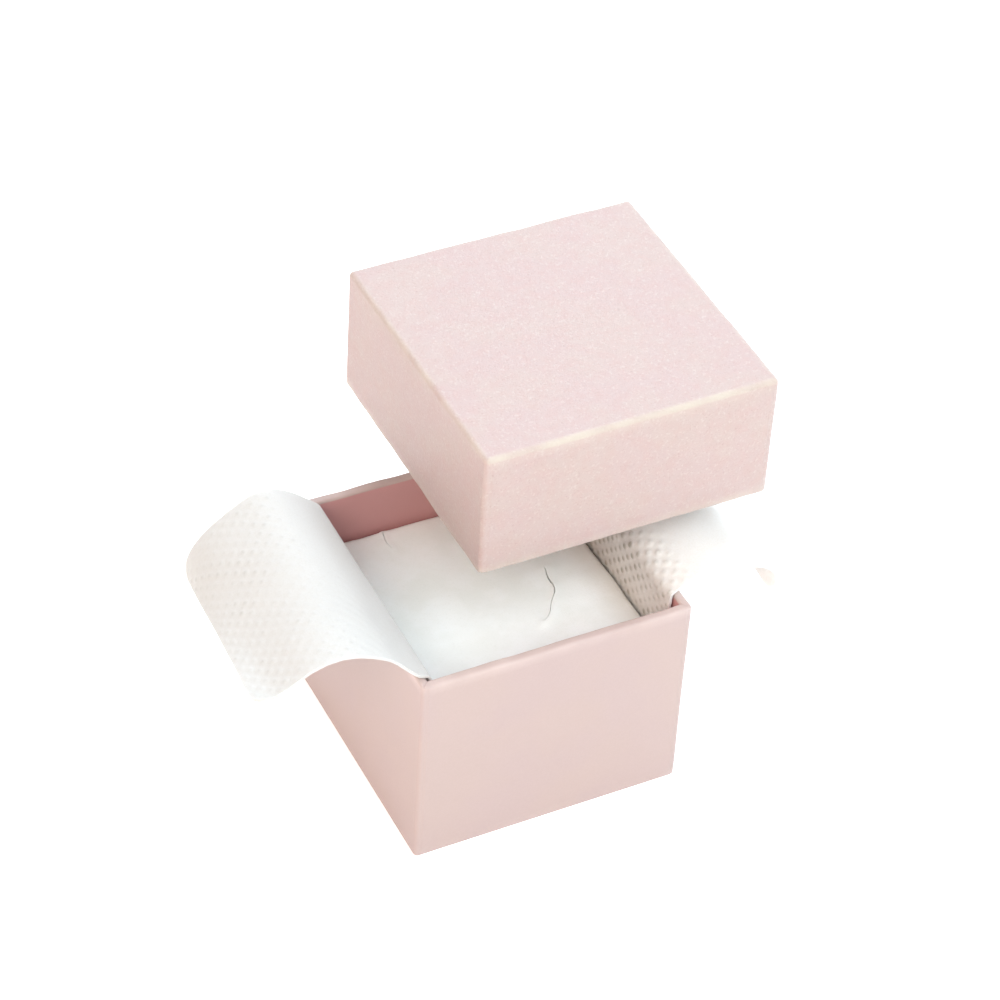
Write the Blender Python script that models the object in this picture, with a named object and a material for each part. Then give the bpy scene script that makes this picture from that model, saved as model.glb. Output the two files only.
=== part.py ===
"""Small paper-over-board gift box for a ring: tray, lift-off lid, foam pad and protective strip.

Frame: metres, +Z up. The origin is the centre of the tray's underside. +X runs along the
front wall from its left end to its right end, +Y runs from the front wall to the back wall.
The lid is held above the open tray, moved to the right and to the back of it.
"""

import math

import bmesh
import bpy

MM = 0.001

# Sheet and board thicknesses
PAPER = 0.20 * MM
BOARD = 0.80 * MM
GLUE_GAP = 0.25 * MM
FIT_GAP = 0.30 * MM
STAY_PAPER = 0.10 * MM
WALL = 2 * PAPER + 2 * GLUE_GAP + BOARD

# Tray
BASE_SIDE = 50 * MM
BASE_HEIGHT = 40 * MM
BASE_CORNER = 0.8 * MM
BASE_FLOOR_EDGE = 0.5 * MM
BASE_TURN_IN = 18 * MM

# Lid
LID_SIDE = 54 * MM
LID_HEIGHT = 24.5 * MM
LID_CORNER = 0.9 * MM
LID_TOP_EDGE = 0.9 * MM
LID_TURN_IN = 15 * MM
LID_OFFSET_X = 17.1 * MM
LID_OFFSET_Y = 13.2 * MM
LID_OPEN_Z = 50.25 * MM

# Rim of both trays, where the paper folds over the board
RIM_RADIUS = 0.5 * MM

# Corner stays: a paper tape folded round each upright board corner
STAY_LEG = 8 * MM
STAY_END_MARGIN = 4 * MM

# Protective strip under the pad, with its two free ends lying over the side walls
STRIP_THICKNESS = 0.8 * MM
STRIP_WIDTH = 43 * MM
STRIP_BEND = 1.6 * MM
FLAP_CORNER = 3 * MM

# Pad
PAD_TOP = 30 * MM
PAD_COVER = 0.4 * MM
PAD_CORNER = 2.2 * MM
PAD_EDGE = 1.4 * MM
PAD_COVER_DEPTH = 11 * MM
SLIT_WIDTH = 0.6 * MM
SLIT_DEPTH = 12 * MM
RING_SLIT_CENTRE = (-1.8 * MM, 1.8 * MM)
RING_SLIT_RADIUS = 13.1 * MM
RING_SLIT_ANGLES = (3, -57)
TAB_SLIT_X = -10.7 * MM
TAB_SLIT_LENGTH = 5.5 * MM

# Levels and widths worked out from the sizes above
BASE_HALF = BASE_SIDE / 2
LID_HALF = LID_SIDE / 2
BASE_INNER_HALF = BASE_HALF - WALL
FLOOR_LINER_Z = PAPER + GLUE_GAP + BOARD + GLUE_GAP
STRIP_FLOOR_Z = FLOOR_LINER_Z + PAPER + FIT_GAP + STRIP_THICKNESS / 2
STRIP_SIDE_X = BASE_INNER_HALF - FIT_GAP - STRIP_THICKNESS / 2
PAD_BOTTOM = STRIP_FLOOR_Z + STRIP_THICKNESS / 2 + FIT_GAP
PAD_HALF_X = STRIP_SIDE_X - STRIP_THICKNESS / 2 - FIT_GAP
PAD_HALF_Y = BASE_INNER_HALF - FIT_GAP
HINGE_Z = BASE_HEIGHT + FIT_GAP + STRIP_THICKNESS / 2

# Middle surface of each flap along its front and back edges: outward from its hinge line and up
# from it. The sheet runs straight from the one line to the other.
LEFT_FLAP_FRONT = [
    (0.0, 0.0),
    (2.0 * MM, 0.1 * MM),
    (3.9 * MM, 1.7 * MM),
    (6.8 * MM, 4.5 * MM),
    (10.2 * MM, 6.5 * MM),
    (13.6 * MM, 7.6 * MM),
    (17.0 * MM, 7.8 * MM),
    (20.4 * MM, 7.0 * MM),
    (23.6 * MM, 5.3 * MM),
    (26.8 * MM, 3.9 * MM),
    (30.6 * MM, 3.7 * MM),
]
LEFT_FLAP_BACK = [
    (0.0, 0.0),
    (1.9 * MM, 0.3 * MM),
    (3.3 * MM, 2.8 * MM),
    (5.9 * MM, 5.1 * MM),
    (9.3 * MM, 6.8 * MM),
    (12.8 * MM, 6.8 * MM),
    (16.0 * MM, 5.2 * MM),
    (19.3 * MM, 2.8 * MM),
    (22.2 * MM, 0.3 * MM),
    (24.2 * MM, -2.6 * MM),
    (25.0 * MM, -6.2 * MM),
]
RIGHT_FLAP_FRONT = [
    (0.0, 0.0),
    (2.1 * MM, 0.1 * MM),
    (3.5 * MM, 1.7 * MM),
    (5.6 * MM, 2.4 * MM),
    (8.2 * MM, 2.4 * MM),
    (11.4 * MM, 1.8 * MM),
    (14.8 * MM, 0.8 * MM),
    (17.7 * MM, -0.8 * MM),
    (19.7 * MM, -3.2 * MM),
    (20.0 * MM, -6.0 * MM),
]
RIGHT_FLAP_BACK = [
    (0.0, 0.0),
    (2.1 * MM, 0.1 * MM),
    (3.5 * MM, 1.7 * MM),
    (5.7 * MM, 2.6 * MM),
    (8.6 * MM, 2.9 * MM),
    (12.0 * MM, 2.5 * MM),
    (15.4 * MM, 1.6 * MM),
    (18.3 * MM, 0.4 * MM),
    (20.4 * MM, -0.9 * MM),
    (22.2 * MM, -2.4 * MM),
]

ARC_STEPS = 4
CORNERS = {
    "front_left": (-1, -1),
    "front_right": (1, -1),
    "back_right": (1, 1),
    "back_left": (-1, 1),
}


def clear_scene():
    for item in list(bpy.data.objects):
        bpy.data.objects.remove(item, do_unlink=True)


def srgb(red, green, blue):
    """Linear colour of an sRGB colour given as 0 to 255."""
    channels = []
    for value in (red, green, blue):
        part = value / 255
        channels.append(part / 12.92 if part <= 0.04045 else ((part + 0.055) / 1.055) ** 2.4)
    return (*channels, 1.0)


def make_material(name, colour, roughness):
    material = bpy.data.materials.new(name)
    material.use_nodes = True
    shader = material.node_tree.nodes["Principled BSDF"]
    shader.inputs["Base Color"].default_value = colour
    shader.inputs["Roughness"].default_value = roughness
    shader.inputs["Metallic"].default_value = 0.0
    material.diffuse_color = colour
    return material


def add_empty(name, location):
    empty = bpy.data.objects.new(name, None)
    empty.location = location
    bpy.context.scene.collection.objects.link(empty)
    return empty


def add_object(name, mesh_builder, material, parent=None, location=(0, 0, 0)):
    """Make one named object from a finished bmesh, faces pointing out."""
    bmesh.ops.recalc_face_normals(mesh_builder, faces=mesh_builder.faces)
    mesh = bpy.data.meshes.new(name)
    mesh_builder.to_mesh(mesh)
    mesh_builder.free()
    if material is not None:
        mesh.materials.append(material)
    mesh.shade_smooth()
    mesh.set_sharp_from_angle(angle=math.radians(35))
    item = bpy.data.objects.new(name, mesh)
    bpy.context.scene.collection.objects.link(item)
    item.parent = parent
    item.location = location
    return item


def quarter_arc(centre, radius, start_degrees, sweep_degrees, steps=ARC_STEPS):
    """Points of an arc in a plane, both ends included."""
    points = []
    for step in range(steps + 1):
        angle = math.radians(start_degrees + sweep_degrees * step / steps)
        points.append((centre[0] + radius * math.cos(angle), centre[1] + radius * math.sin(angle)))
    return points


def rounded_rectangle(half_x, half_y, radius):
    """Plan outline, counter-clockwise from above, starting at the front right corner."""
    outline = []
    for sign_x, sign_y, start in ((1, -1, -90), (1, 1, 0), (-1, 1, 90), (-1, -1, 180)):
        centre = (sign_x * (half_x - radius), sign_y * (half_y - radius))
        outline += quarter_arc(centre, radius, start, 90)
    return outline


def lofted_rings(profile, half_x, half_y, corner_radius, smallest_radius=0.08 * MM):
    """Closed body through plan outlines. The profile lists (inset, z), from cap to cap."""
    builder = bmesh.new()
    rings = []
    for inset, z in profile:
        radius = max(corner_radius - inset, smallest_radius)
        outline = rounded_rectangle(half_x - inset, half_y - inset, radius)
        rings.append([builder.verts.new((x, y, z)) for x, y in outline])
    for lower, upper in zip(rings, rings[1:]):
        for index in range(len(lower)):
            following = (index + 1) % len(lower)
            builder.faces.new((lower[index], lower[following], upper[following], upper[index]))
    builder.faces.new(list(reversed(rings[0])))
    builder.faces.new(rings[-1])
    return builder


def flipped(profile, height):
    """The same profile with its open side down."""
    return [(inset, height - z) for inset, z in profile]


def wrap_profile(height, closed_edge, turn_in):
    """Section of the covering paper: closed face, wall, over the rim and down the inside."""
    outer = quarter_arc((closed_edge, closed_edge), closed_edge, 270, -90)
    outer += quarter_arc((RIM_RADIUS, height - RIM_RADIUS), RIM_RADIUS, 180, -90)
    outer += quarter_arc((WALL - RIM_RADIUS, height - RIM_RADIUS), RIM_RADIUS, 90, -90)
    outer.append((WALL, height - turn_in))
    inner_rim = RIM_RADIUS - PAPER
    inner_edge = closed_edge - PAPER
    inner = [(WALL - PAPER, height - turn_in)]
    inner += quarter_arc((WALL - RIM_RADIUS, height - RIM_RADIUS), inner_rim, 0, 90)
    inner += quarter_arc((RIM_RADIUS, height - RIM_RADIUS), inner_rim, 90, 90)
    inner += quarter_arc((closed_edge, closed_edge), inner_edge, 180, 90)
    return outer + inner


def board_profile(height):
    """Section of the folded board tray inside the paper."""
    outside = PAPER + GLUE_GAP
    inside = outside + BOARD
    top = height - PAPER - GLUE_GAP
    return [
        (inside, outside),
        (outside, inside),
        (outside, top),
        (inside, top),
        (inside, inside + PAPER),
        (inside + PAPER, inside),
    ]


def corner_stay(half, corner_radius, length):
    """Folded tape outside one board corner, in the plan quadrant +X +Y, standing on z = 0."""
    outer_inset = PAPER + (GLUE_GAP - STAY_PAPER) / 2
    builder = bmesh.new()
    lines = []
    for inset in (outer_inset, outer_inset + STAY_PAPER):
        radius = corner_radius - inset
        centre = (half - corner_radius, half - corner_radius)
        line = [(half - inset, half - STAY_LEG)]
        line += quarter_arc(centre, radius, 0, 90)
        line.append((half - STAY_LEG, half - inset))
        lines.append(line)
    outline = lines[0] + list(reversed(lines[1]))
    low = [builder.verts.new((x, y, 0.0)) for x, y in outline]
    high = [builder.verts.new((x, y, length)) for x, y in outline]
    count = len(outline)
    span = len(lines[0])
    for index in range(count):
        following = (index + 1) % count
        builder.faces.new((low[index], low[following], high[following], high[index]))
    for index in range(span - 1):
        mate = count - 1 - index
        builder.faces.new((low[index], low[mate], low[mate - 1], low[index + 1]))
        builder.faces.new((high[index], high[index + 1], high[mate - 1], high[mate]))
    return builder


def add_corner_stays(prefix, half, corner_radius, height, material, parent, location):
    length = height - 2 * STAY_END_MARGIN
    for corner, (sign_x, sign_y) in CORNERS.items():
        builder = corner_stay(half, corner_radius, length)
        for vertex in builder.verts:
            vertex.co.x *= sign_x
            vertex.co.y *= sign_y
            vertex.co.z += STAY_END_MARGIN
        add_object(f"{prefix}_corner_stay_{corner}", builder, material, parent, location)


def smooth_line(points, steps_per_span=3):
    """Catmull-Rom curve through the points, for an evenly bent sheet."""
    line = []
    for index in range(len(points) - 1):
        before = points[max(index - 1, 0)]
        start = points[index]
        end = points[index + 1]
        after = points[min(index + 2, len(points) - 1)]
        for step in range(steps_per_span):
            t = step / steps_per_span
            line.append(tuple(
                0.5 * (2 * b + (c - a) * t + (2 * a - 5 * b + 4 * c - d) * t * t
                       + (3 * b - a - 3 * c + d) * t ** 3)
                for a, b, c, d in zip(before, start, end, after)
            ))
    line.append(points[-1])
    return line


def across(stations, index, side):
    """Unit normal of a sheet's section line at one station, on its front or back edge."""
    before = stations[max(index - 1, 0)][side]
    after = stations[min(index + 1, len(stations) - 1)][side]
    along = (after[0] - before[0], after[1] - before[1])
    length = math.hypot(*along)
    return (-along[1] / length, along[0] / length)


def ribbon(stations):
    """Closed strip. A station is (front (x, z), back (x, z), half thickness, inset of both edges)."""
    builder = bmesh.new()
    sections = []
    half_width = STRIP_WIDTH / 2
    for index, (front, back, half_thickness, inset) in enumerate(stations):
        front_normal = across(stations, index, 0)
        back_normal = across(stations, index, 1)
        share = inset / STRIP_WIDTH
        section = []
        for face, t in ((1, share), (1, 1 - share), (-1, 1 - share), (-1, share)):
            x = front[0] + (back[0] - front[0]) * t
            z = front[1] + (back[1] - front[1]) * t
            x += face * half_thickness * (front_normal[0] + (back_normal[0] - front_normal[0]) * t)
            z += face * half_thickness * (front_normal[1] + (back_normal[1] - front_normal[1]) * t)
            section.append(builder.verts.new((x, -half_width + t * STRIP_WIDTH, z)))
        sections.append(section)
    for near, far in zip(sections, sections[1:]):
        for index in range(4):
            following = (index + 1) % 4
            builder.faces.new((near[index], near[following], far[following], far[index]))
    builder.faces.new(list(reversed(sections[0])))
    builder.faces.new(sections[-1])
    bmesh.ops.triangulate(builder, faces=builder.faces)
    return builder


def strip_stations():
    """The strip down one wall, along the floor and up the other wall."""
    low = STRIP_FLOOR_Z + STRIP_BEND
    line = [(-STRIP_SIDE_X, BASE_HEIGHT)]
    line += quarter_arc((-STRIP_SIDE_X + STRIP_BEND, low), STRIP_BEND, 180, 90)
    line += quarter_arc((STRIP_SIDE_X - STRIP_BEND, low), STRIP_BEND, 270, 90)
    line.append((STRIP_SIDE_X, BASE_HEIGHT))
    return [(point, point, STRIP_THICKNESS / 2, 0.0) for point in line]


def flap_stations(front_line, back_line, side):
    """A flap in its hinge's frame: a round end on the hinge line, rounded free corners."""
    half_thickness = STRIP_THICKNESS / 2
    stations = []
    for degrees in (22.5, 45.0, 67.5):
        angle = math.radians(degrees)
        point = (-side * half_thickness * math.cos(angle), 0.0)
        stations.append((point, point, half_thickness * math.sin(angle), 0.0))
    front_points = smooth_line(front_line)
    back_points = smooth_line(back_line)
    lengths = [0.0]
    for start, end in zip(front_points, front_points[1:]):
        lengths.append(lengths[-1] + math.dist(start, end))
    for front, back, length in zip(front_points, back_points, lengths):
        past = max(0.0, length - (lengths[-1] - FLAP_CORNER))
        inset = FLAP_CORNER - math.sqrt(max(FLAP_CORNER ** 2 - past ** 2, 0.0))
        front = (side * front[0], front[1])
        back = (side * back[0], back[1])
        stations.append((front, back, half_thickness, inset))
    return stations


def slit_cutter(name, line, top, depth, parent):
    """Upright blade that follows a plan line, used to cut the pad."""
    builder = bmesh.new()
    sections = []
    for index, (x, y) in enumerate(line):
        before = line[max(index - 1, 0)]
        after = line[min(index + 1, len(line) - 1)]
        along = (after[0] - before[0], after[1] - before[1])
        length = math.hypot(*along)
        offset = (-along[1] / length * SLIT_WIDTH / 2, along[0] / length * SLIT_WIDTH / 2)
        sections.append([
            builder.verts.new((x + side * offset[0], y + side * offset[1], z))
            for side, z in ((1, top), (-1, top), (-1, top - depth), (1, top - depth))
        ])
    for near, far in zip(sections, sections[1:]):
        for index in range(4):
            following = (index + 1) % 4
            builder.faces.new((near[index], near[following], far[following], far[index]))
    builder.faces.new(list(reversed(sections[0])))
    builder.faces.new(sections[-1])
    cutter = add_object(name, builder, None, parent)
    cutter.hide_render = True
    cutter.display_type = "WIRE"
    return cutter


def cut_with(item, cutters):
    for cutter in cutters:
        modifier = item.modifiers.new(cutter.name, "BOOLEAN")
        modifier.operation = "DIFFERENCE"
        modifier.solver = "EXACT"
        modifier.object = cutter


def cover_profile():
    """Section of the pad's covering sheet: its top face and its sides, open below."""
    bottom = PAD_TOP - PAD_COVER_DEPTH
    edge_centre = (PAD_EDGE, PAD_TOP - PAD_EDGE)
    inner = quarter_arc(edge_centre, PAD_EDGE - PAD_COVER, 90, 90)
    outer = quarter_arc(edge_centre, PAD_EDGE, 180, -90)
    return inner + [(PAD_COVER, bottom), (0.0, bottom)] + outer


def build_tray(materials):
    wrap = lofted_rings(
        wrap_profile(BASE_HEIGHT, BASE_FLOOR_EDGE, BASE_TURN_IN), BASE_HALF, BASE_HALF, BASE_CORNER
    )
    add_object("base_wrap", wrap, materials["base_paper"])
    board = lofted_rings(board_profile(BASE_HEIGHT), BASE_HALF, BASE_HALF, BASE_CORNER)
    add_object("base_board", board, materials["greyboard"])
    liner_inset = WALL + FIT_GAP
    liner = lofted_rings(
        [(liner_inset, FLOOR_LINER_Z), (liner_inset, FLOOR_LINER_Z + PAPER)],
        BASE_HALF, BASE_HALF, BASE_CORNER,
    )
    add_object("base_floor_liner", liner, materials["base_liner_paper"])
    add_corner_stays(
        "base", BASE_HALF, BASE_CORNER, BASE_HEIGHT, materials["kraft_tape"], None, (0, 0, 0)
    )


def build_lid(materials):
    slide = add_empty("lid_slide", (LID_OFFSET_X, LID_OFFSET_Y, LID_OPEN_Z))
    wrap = lofted_rings(
        flipped(wrap_profile(LID_HEIGHT, LID_TOP_EDGE, LID_TURN_IN), LID_HEIGHT),
        LID_HALF, LID_HALF, LID_CORNER,
    )
    add_object("lid_wrap", wrap, materials["lid_paper"], slide)
    board = lofted_rings(
        flipped(board_profile(LID_HEIGHT), LID_HEIGHT), LID_HALF, LID_HALF, LID_CORNER
    )
    add_object("lid_board", board, materials["greyboard"], slide)
    liner_inset = WALL + FIT_GAP
    liner_top = LID_HEIGHT - FLOOR_LINER_Z
    liner = lofted_rings(
        [(liner_inset, liner_top), (liner_inset, liner_top - PAPER)], LID_HALF, LID_HALF, LID_CORNER
    )
    add_object("lid_top_liner", liner, materials["lid_liner_paper"], slide)
    add_corner_stays(
        "lid", LID_HALF, LID_CORNER, LID_HEIGHT, materials["kraft_tape"], slide, (0, 0, 0)
    )


def build_pad(materials):
    slide = add_empty("pad_slide", (0, 0, 0))
    foam_inset = PAD_COVER + GLUE_GAP
    foam_top = PAD_TOP - foam_inset
    foam_edge = PAD_EDGE - PAD_COVER
    foam_profile = [(foam_inset, PAD_BOTTOM)]
    foam_profile += [
        (foam_inset + inset, z)
        for inset, z in quarter_arc((foam_edge, foam_top - foam_edge), foam_edge, 180, -90)
    ]
    foam = add_object(
        "pad_foam", lofted_rings(foam_profile, PAD_HALF_X, PAD_HALF_Y, PAD_CORNER),
        materials["foam"], slide,
    )
    cover = add_object(
        "pad_cover", lofted_rings(cover_profile(), PAD_HALF_X, PAD_HALF_Y, PAD_CORNER),
        materials["pad_cloth"], slide,
    )
    ring_line = quarter_arc(
        RING_SLIT_CENTRE, RING_SLIT_RADIUS, RING_SLIT_ANGLES[0],
        RING_SLIT_ANGLES[1] - RING_SLIT_ANGLES[0], 8,
    )
    tab_start = PAD_HALF_Y + FIT_GAP
    tab_line = [(TAB_SLIT_X, tab_start), (TAB_SLIT_X, PAD_HALF_Y - TAB_SLIT_LENGTH)]
    blade_top = PAD_TOP + 1 * MM
    cutters = [
        slit_cutter("ring_slit_cutter", ring_line, blade_top, SLIT_DEPTH, slide),
        slit_cutter("tab_slit_cutter", tab_line, blade_top, SLIT_DEPTH, slide),
    ]
    cut_with(foam, cutters)
    cut_with(cover, cutters)


def build_strip(materials):
    add_object("liner_strip", ribbon(strip_stations()), materials["embossed_foam"])
    for name, front_line, back_line, side in (
        ("liner_left_flap", LEFT_FLAP_FRONT, LEFT_FLAP_BACK, -1),
        ("liner_right_flap", RIGHT_FLAP_FRONT, RIGHT_FLAP_BACK, 1),
    ):
        hinge = add_empty(f"{name}_hinge", (side * STRIP_SIDE_X, 0, HINGE_Z))
        sheet = ribbon(flap_stations(front_line, back_line, side))
        add_object(name, sheet, materials["embossed_foam"], hinge)


def main():
    clear_scene()
    materials = {
        "base_paper": make_material("base_paper", srgb(233, 207, 202), 0.62),
        "base_liner_paper": make_material("base_liner_paper", srgb(229, 200, 195), 0.7),
        "lid_paper": make_material("lid_paper", srgb(238, 216, 212), 0.5),
        "lid_liner_paper": make_material("lid_liner_paper", srgb(235, 212, 208), 0.7),
        "greyboard": make_material("greyboard", srgb(150, 142, 132), 0.9),
        "kraft_tape": make_material("kraft_tape", srgb(196, 164, 124), 0.75),
        "foam": make_material("foam", srgb(240, 238, 235), 0.95),
        "pad_cloth": make_material("pad_cloth", srgb(244, 242, 239), 0.85),
        "embossed_foam": make_material("embossed_foam", srgb(247, 245, 242), 0.6),
    }
    build_tray(materials)
    build_lid(materials)
    build_pad(materials)
    build_strip(materials)


main()
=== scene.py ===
import math

import bmesh
import bpy
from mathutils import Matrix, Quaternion, Vector, noise


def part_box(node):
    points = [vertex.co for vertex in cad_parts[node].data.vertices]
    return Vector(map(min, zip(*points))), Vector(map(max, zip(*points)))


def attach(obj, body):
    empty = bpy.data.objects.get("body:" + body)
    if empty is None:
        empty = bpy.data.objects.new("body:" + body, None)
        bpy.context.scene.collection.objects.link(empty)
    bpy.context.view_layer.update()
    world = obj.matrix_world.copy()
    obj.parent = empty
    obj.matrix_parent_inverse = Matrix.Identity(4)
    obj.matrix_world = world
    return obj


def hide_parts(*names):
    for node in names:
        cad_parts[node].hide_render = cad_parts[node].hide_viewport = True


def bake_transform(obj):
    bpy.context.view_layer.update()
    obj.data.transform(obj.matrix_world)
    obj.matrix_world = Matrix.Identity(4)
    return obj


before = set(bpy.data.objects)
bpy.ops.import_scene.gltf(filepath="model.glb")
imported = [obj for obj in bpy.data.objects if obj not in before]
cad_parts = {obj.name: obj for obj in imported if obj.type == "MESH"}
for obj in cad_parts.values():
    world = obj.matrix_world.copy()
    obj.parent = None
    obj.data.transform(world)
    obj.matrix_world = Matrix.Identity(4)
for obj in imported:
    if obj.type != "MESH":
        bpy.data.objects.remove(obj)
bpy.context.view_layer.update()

MM = 0.001

# ---------------------------------------------------------------- sizes, from the frame
base_low, base_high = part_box("base_wrap")
lid_low, lid_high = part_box("lid_wrap")
cover_low, cover_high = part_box("pad_cover")
foam_low, foam_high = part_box("pad_foam")
strip_low, strip_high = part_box("liner_strip")

RIM_Z = base_high.z
BASE_HALF = base_high.x
LID_HALF = (lid_high.x - lid_low.x) / 2
LID_CENTRE = (lid_low + lid_high) / 2
LID_HEIGHT = lid_high.z - lid_low.z

PAPER = 0.20 * MM
WALL = 1.70 * MM
RIM_RADIUS = 0.50 * MM
BASE_CORNER = 0.80 * MM
BASE_FLOOR_EDGE = 0.50 * MM
BASE_TURN_IN = 18 * MM
LID_CORNER = 0.90 * MM
LID_TOP_EDGE = 0.90 * MM
LID_TURN_IN = 15 * MM
PANEL_STEP = 0.07 * MM
SMALLEST_CORNER = 0.06 * MM

PAD_TOP = cover_high.z
PAD_HALF_X = cover_high.x
PAD_HALF_Y = cover_high.y
PAD_CORNER = 2.2 * MM
PAD_EDGE = 1.4 * MM
PAD_COVER = 0.40 * MM

STRIP_SHEET = 0.45 * MM
STRIP_HALF_WIDTH = strip_high.y
STRIP_SIDE_X = strip_high.x - 0.4 * MM
STRIP_FLOOR_Z = strip_low.z + 0.4 * MM
STRIP_BEND = 1.6 * MM
HINGE_Z = RIM_Z + 0.7 * MM
FLAP_CORNER = 3 * MM


# ---------------------------------------------------------------- camera, light and floor
CAMERA_AIM = Vector((8.05, 13.97, 38.0)) * MM
CAMERA_DISTANCE = 599 * MM
CAMERA_AZIMUTH = 28.34
CAMERA_ELEVATION = 41.30
CAMERA_ROLL = 3.66
CAMERA_LENS = 124.4
SENSOR_WIDTH = 36

# Name of each round soft light: azimuth and elevation in degrees, distance and size in metres,
# and its colour times its power
SOFTBOXES = {
    "front_softbox": (-25, 35, 0.75, 0.35, (1.00, 1.34, 1.36)),
    "front_high_softbox": (-35, 50, 0.75, 0.35, (1.22, 1.42, 1.62)),
    "left_top_softbox": (45, 38, 0.75, 0.35, (1.90, 1.72, 1.52)),
    "left_softbox": (80, 25, 0.80, 0.50, (1.15, 0.75, 0.50)),
    "right_softbox": (-100, 16, 0.80, 0.50, (1.50, 1.60, 1.70)),
    "back_softbox": (-152, 44, 0.80, 0.50, (3.35, 4.00, 4.50)),
}

# The surroundings' colour by the height of the direction looked in, 0 level and 1 straight up
SURROUNDINGS = [
    (0.14, (0.90, 0.90, 0.90)),
    (0.20, (0.02, 0.02, 0.02)),
    (0.30, (0.02, 0.02, 0.02)),
    (0.75, (1.00, 1.00, 1.02)),
]

FLOOR_HALF = 3.0
FLOOR_DROP = 0.02 * MM
FLOOR_COLOUR = (0.90, 0.90, 0.90)
FLOOR_GLOW = (0.45, 0.45, 0.45)


def direction(azimuth, elevation):
    """Unit vector towards a place at that azimuth (0 is the front, positive to the left)."""
    a = math.radians(azimuth)
    e = math.radians(elevation)
    return Vector((-math.sin(a) * math.cos(e), -math.cos(a) * math.cos(e), math.sin(e)))


def link(item):
    bpy.context.scene.collection.objects.link(item)
    return item


def make_camera():
    data = bpy.data.cameras.new("camera")
    data.lens = CAMERA_LENS
    data.sensor_width = SENSOR_WIDTH
    data.clip_start = 0.01
    data.clip_end = 20
    camera = link(bpy.data.objects.new("camera", data))
    back = direction(CAMERA_AZIMUTH, CAMERA_ELEVATION)
    camera.location = CAMERA_AIM + back * CAMERA_DISTANCE
    camera.rotation_mode = "QUATERNION"
    roll = Quaternion((0, 0, 1), math.radians(CAMERA_ROLL))
    camera.rotation_quaternion = (-back).to_track_quat("-Z", "Y") @ roll
    bpy.context.scene.camera = camera


def make_softbox(name, azimuth, elevation, distance, size, colour):
    """Round soft light of that colour and power, aimed at the middle of the object."""
    power = max(colour)
    data = bpy.data.lights.new(name, "AREA")
    data.shape = "DISK"
    data.size = size
    data.energy = power
    data.color = [channel / power for channel in colour]
    light = link(bpy.data.objects.new(name, data))
    back = direction(azimuth, elevation)
    light.location = Vector((0, 0, RIM_Z)) + back * distance
    light.rotation_mode = "QUATERNION"
    light.rotation_quaternion = (-back).to_track_quat("-Z", "Y")


def make_world():
    """Plain studio surroundings: a pale backdrop at the horizon and soft light from overhead."""
    world = bpy.data.worlds.new("studio")
    world.use_nodes = True
    nodes = world.node_tree.nodes
    links = world.node_tree.links
    upward = nodes.new("ShaderNodeTexCoord").outputs["Generated"]
    split = nodes.new("ShaderNodeSeparateXYZ")
    ramp = nodes.new("ShaderNodeValToRGB")
    while len(ramp.color_ramp.elements) < len(SURROUNDINGS):
        ramp.color_ramp.elements.new(0.5)
    for element, (place, colour) in zip(ramp.color_ramp.elements, SURROUNDINGS):
        element.position = place
        element.color = (*colour, 1)
    links.new(upward, split.inputs["Vector"])
    links.new(split.outputs["Z"], ramp.inputs["Fac"])
    links.new(ramp.outputs["Color"], nodes["Background"].inputs["Color"])
    bpy.context.scene.world = world


def make_floor():
    """White floor that glows a little, so that the object's shadow on it stays pale."""
    half = FLOOR_HALF
    mesh = bpy.data.meshes.new("floor")
    mesh.from_pydata([(-half, -half, 0), (half, -half, 0), (half, half, 0), (-half, half, 0)], [],
                     [(0, 1, 2, 3)])
    floor = link(bpy.data.objects.new("floor", mesh))
    floor.location.z = -FLOOR_DROP
    material = bpy.data.materials.new("floor_white")
    material.use_nodes = True
    shader = material.node_tree.nodes["Principled BSDF"]
    shader.inputs["Base Color"].default_value = (*FLOOR_COLOUR, 1)
    shader.inputs["Roughness"].default_value = 0.9
    shader.inputs["Specular IOR Level"].default_value = 0.2
    shader.inputs["Emission Color"].default_value = (*FLOOR_GLOW, 1)
    shader.inputs["Emission Strength"].default_value = 1.0
    mesh.materials.append(material)


def make_studio():
    scene = bpy.context.scene
    scene.view_settings.view_transform = "Standard"
    scene.view_settings.look = "None"
    make_world()
    for name, (azimuth, elevation, distance, size, colour) in SOFTBOXES.items():
        make_softbox(name, azimuth, elevation, distance, size, colour)
    make_floor()


# ---------------------------------------------------------------- material helpers
def srgb(red, green, blue):
    """Linear colour of three display values from 0 to 255."""
    channels = []
    for value in (red, green, blue):
        part = value / 255
        channels.append(part / 12.92 if part <= 0.04045 else ((part + 0.055) / 1.055) ** 2.4)
    return (*channels, 1.0)


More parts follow.
